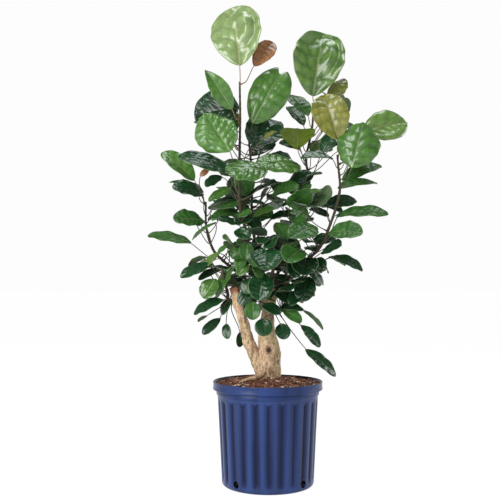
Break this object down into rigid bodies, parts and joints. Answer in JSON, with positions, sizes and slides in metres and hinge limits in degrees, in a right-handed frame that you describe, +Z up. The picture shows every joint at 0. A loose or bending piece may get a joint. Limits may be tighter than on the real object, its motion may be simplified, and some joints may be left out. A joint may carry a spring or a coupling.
{
  "type": "potted aralia",
  "caption": "Upright potted aralia with round glossy quilted leaves on slender shoots from a cut double trunk, in a fluted dark blue nursery pot.",
  "frame": {"origin": "centre of the pot's underside", "axes": "+Z up along the plant, -Y the front with the largest leaf faces, +X the viewer's right"},
  "size_m": [0.6506, 0.3593, 1.1771],
  "materials": {
    "pot": "smooth moulded plastic, dark navy, glossy",
    "potting_mix": "coarse bark and peat mix, matt",
    "bark": "rough tan bark with pale specks",
    "stem": "thin dark brown bark",
    "young_leaf": "glossy, quilted, light to olive green",
    "mature_leaf": "glossy, quilted, deep green with a pale margin"
  },
  "bodies": {
    "root": {"centre_leaf_1": "young_leaf", "centre_leaf_2": "young_leaf", "centre_leaf_3": "mature_leaf", "centre_leaf_4": "mature_leaf", "centre_leaf_5": "young_leaf", "centre_leaf_6": "mature_leaf", "centre_leaf_7": "mature_leaf", "centre_leaf_8": "mature_leaf", "centre_stem": "stem", "front_leaf_1": "mature_leaf", "front_leaf_2": "mature_leaf", "front_leaf_3": "mature_leaf", "front_leaf_4": "mature_leaf", "front_leaf_5": "mature_leaf", "front_leaf_6": "mature_leaf", "front_stem": "stem", "inner_leaf_1": "young_leaf", "inner_leaf_2": "mature_leaf", "inner_leaf_3": "mature_leaf", "inner_leaf_4": "mature_leaf", "inner_leaf_5": "mature_leaf", "inner_leaf_6": "mature_leaf", "inner_stem": "stem", "left_leaf_1": "young_leaf", "left_leaf_2": "young_leaf", "left_leaf_3": "young_leaf", "left_leaf_4": "mature_leaf", "left_leaf_5": "young_leaf", "left_leaf_6": "mature_leaf", "left_leaf_7": "mature_leaf", "left_leaf_8": "mature_leaf", "left_leaf_9": "mature_leaf", "left_stem": "stem", "low_left_leaf_1": "mature_leaf", "low_left_leaf_2": "mature_leaf", "low_left_stem": "stem", "low_right_leaf_1": "mature_leaf", "low_right_leaf_2": "mature_leaf", "low_right_stem": "stem", "outer_leaf_1": "mature_leaf", "outer_leaf_2": "mature_leaf", "outer_leaf_3": "mature_leaf", "outer_leaf_4": "mature_leaf", "outer_leaf_5": "mature_leaf", "outer_stem": "stem", "pot": "pot", "potting_mix": "potting_mix", "right_leaf_1": "young_leaf", "right_leaf_10": "mature_leaf", "right_leaf_11": "mature_leaf", "right_leaf_2": "young_leaf", "right_leaf_3": "young_leaf", "right_leaf_4": "mature_leaf", "right_leaf_5": "mature_leaf", "right_leaf_6": "mature_leaf", "right_leaf_7": "mature_leaf", "right_leaf_8": "mature_leaf", "right_leaf_9": "mature_leaf", "right_stem": "stem", "trunk": "bark"}
  },
  "joints": []
}
